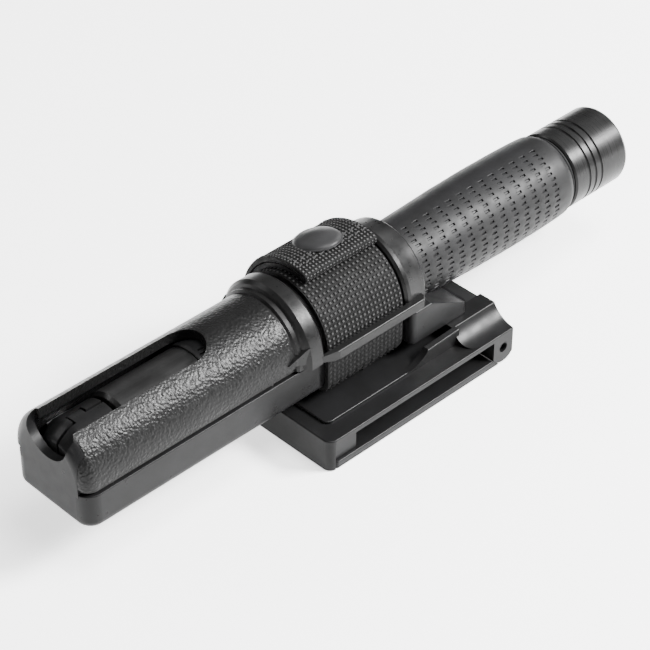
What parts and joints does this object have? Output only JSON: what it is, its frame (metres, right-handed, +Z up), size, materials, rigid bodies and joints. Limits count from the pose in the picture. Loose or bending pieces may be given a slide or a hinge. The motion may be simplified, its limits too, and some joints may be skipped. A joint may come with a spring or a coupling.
{
  "type": "baton holder",
  "caption": "Closed expandable baton with a rubber grip, in a two-shell holder with a snap strap, on a swivelling quick-release belt clip.",
  "frame": {"origin": "where the swivel axis meets the belt clip's underside", "axes": "+X along the baton from the holder's closed end to the cap, +Y across, +Z up from the belt clip's underside"},
  "size_m": [0.2044, 0.0544, 0.0486],
  "materials": {
    "clip_plastic": "satin moulded nylon, black",
    "shell_plastic": "smooth semi-gloss moulded nylon, black",
    "grained_plastic": "grained moulded nylon, black",
    "jaw_plastic": "smooth acetal, black",
    "washer_plastic": "plain sheet",
    "steel": "zinc plated",
    "webbing": "woven nylon, black",
    "snap_black": "satin black lacquer",
    "black_tube": "satin black finish",
    "grip_rubber": "matt with small recesses",
    "cap_black": "black anodised, satin",
    "seal_rubber": "matt"
  },
  "bodies": {
    "clip": {"clip_body": "clip_plastic", "hinge_pin": "steel", "latch_spring": "steel", "index_spring": "steel", "swivel_washer": "washer_plastic"},
    "gate": {"gate_bar": "clip_plastic"},
    "latch": {"latch_block": "clip_plastic"},
    "holder": {"lower_shell": "shell_plastic", "upper_shell": "grained_plastic", "shell_screws": "steel", "swivel_disc": "clip_plastic", "swivel_screw": "steel", "strap_band": "webbing", "snap_stud": "steel", "jaw_pins": "steel", "jaw_springs": "steel"},
    "flap": {"strap_flap": "webbing", "snap_cap": "snap_black", "snap_socket": "steel"},
    "near_jaw": {"jaw_near": "jaw_plastic"},
    "far_jaw": {"jaw_far": "jaw_plastic"},
    "tip": {"tip_shaft": "black_tube", "baton_tip": "black_tube"},
    "middle": {"middle_tube": "black_tube"},
    "handle": {"handle_tube": "black_tube", "grip": "grip_rubber", "end_cap": "cap_black", "cap_seal": "seal_rubber", "retaining_clip": "steel", "clip_screw": "steel"}
  },
  "joints": [
    {"name": "swivel", "type": "hinge", "parent": "clip", "child": "holder", "pos_m": [0, 0, 0.0117], "axis": [0, 0, 1], "continuous": true},
    {"name": "gate_hinge", "type": "hinge", "parent": "clip", "child": "gate", "pos_m": [0.041, 0, 0.005], "axis": [0, -1, 0], "range_deg": [0, 70]},
    {"name": "latch_push", "type": "slide", "parent": "clip", "child": "latch", "axis": [0, 1, 0], "range_m": [0, 0.004], "stiffness_N_per_m": 500, "springref_m": -0.002, "deforming": ["latch_spring"]},
    {"name": "strap_open", "type": "hinge", "parent": "holder", "child": "flap", "pos_m": [0, 0.0192, 0.029], "axis": [-1, 0, 0], "range_deg": [0, 110]},
    {"name": "near_jaw_open", "type": "hinge", "parent": "holder", "child": "near_jaw", "pos_m": [-0.089, -0.0042, 0.0277], "axis": [0, 0, -1], "range_deg": [0, 4], "stiffness_Nm_per_rad": 0.02, "springref_deg": -11.46, "deforming": ["jaw_springs"]},
    {"name": "far_jaw_open", "type": "hinge", "parent": "holder", "child": "far_jaw", "pos_m": [-0.089, 0.0042, 0.0277], "axis": [0, 0, 1], "range_deg": [0, 4], "stiffness_Nm_per_rad": 0.02, "springref_deg": -11.46},
    {"name": "baton_draw", "type": "slide", "parent": "holder", "child": "tip", "axis": [1, 0, 0], "range_m": [0, 0.115]},
    {"name": "middle_draw", "type": "slide", "parent": "tip", "child": "middle", "axis": [1, 0, 0], "range_m": [0, 0.133]},
    {"name": "handle_draw", "type": "slide", "parent": "middle", "child": "handle", "axis": [1, 0, 0], "range_m": [0, 0.133]}
  ]
}
